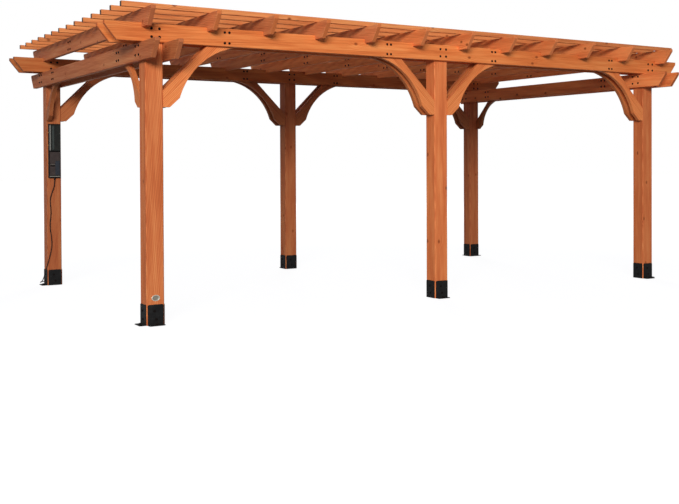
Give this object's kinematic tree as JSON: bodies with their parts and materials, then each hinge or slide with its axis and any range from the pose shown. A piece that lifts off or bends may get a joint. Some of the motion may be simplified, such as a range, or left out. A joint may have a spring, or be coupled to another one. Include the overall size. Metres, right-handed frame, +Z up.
{
  "type": "wooden pergola",
  "caption": "Free-standing stained-timber pergola: square posts in steel foot brackets, curved knee braces, doubled beams with angled tails, notched rafters and roof slats.",
  "frame": {"origin": "on the ground, at the middle of the plan", "axes": "+X along the long beams to the viewer's right, +Y from the front row of posts to the back row, +Z up"},
  "size_m": [6.126, 3.814, 2.436],
  "materials": {
    "stained_cedar": "satin stain",
    "black_powder_coated_steel": "satin",
    "dark_grey_plastic": "satin",
    "grey_plastic": "matt",
    "black_cord_rubber": "matt"
  },
  "bodies": {
    "root": {"back_inner_beam": "stained_cedar", "back_left_braces": "stained_cedar", "back_left_post": "stained_cedar", "back_left_post_feet": "black_powder_coated_steel", "back_middle_braces": "stained_cedar", "back_middle_post": "stained_cedar", "back_middle_post_feet": "black_powder_coated_steel", "back_outer_beam": "stained_cedar", "back_right_braces": "stained_cedar", "back_right_post": "stained_cedar", "back_right_post_feet": "black_powder_coated_steel", "cord_gland": "black_cord_rubber", "front_inner_beam": "stained_cedar", "front_left_braces": "stained_cedar", "front_left_post": "stained_cedar", "front_left_post_feet": "black_powder_coated_steel", "front_middle_braces": "stained_cedar", "front_middle_post": "stained_cedar", "front_middle_post_feet": "black_powder_coated_steel", "front_outer_beam": "stained_cedar", "front_right_braces": "stained_cedar", "front_right_post": "stained_cedar", "front_right_post_feet": "black_powder_coated_steel", "left_inner_beam": "stained_cedar", "left_outer_beam": "stained_cedar", "outlet_box": "grey_plastic", "outlet_cover": "dark_grey_plastic", "outlet_panels": "grey_plastic", "power_cord": "black_cord_rubber", "power_plug": "black_cord_rubber", "rafter_01": "stained_cedar", "rafter_02": "stained_cedar", "rafter_03": "stained_cedar", "rafter_04": "stained_cedar", "rafter_05": "stained_cedar", "rafter_06": "stained_cedar", "rafter_07": "stained_cedar", "rafter_08": "stained_cedar", "rafter_09": "stained_cedar", "rafter_10": "stained_cedar", "rafter_11": "stained_cedar", "rafter_12": "stained_cedar", "right_inner_beam": "stained_cedar", "right_outer_beam": "stained_cedar", "roof_slats": "stained_cedar"}
  },
  "joints": []
}
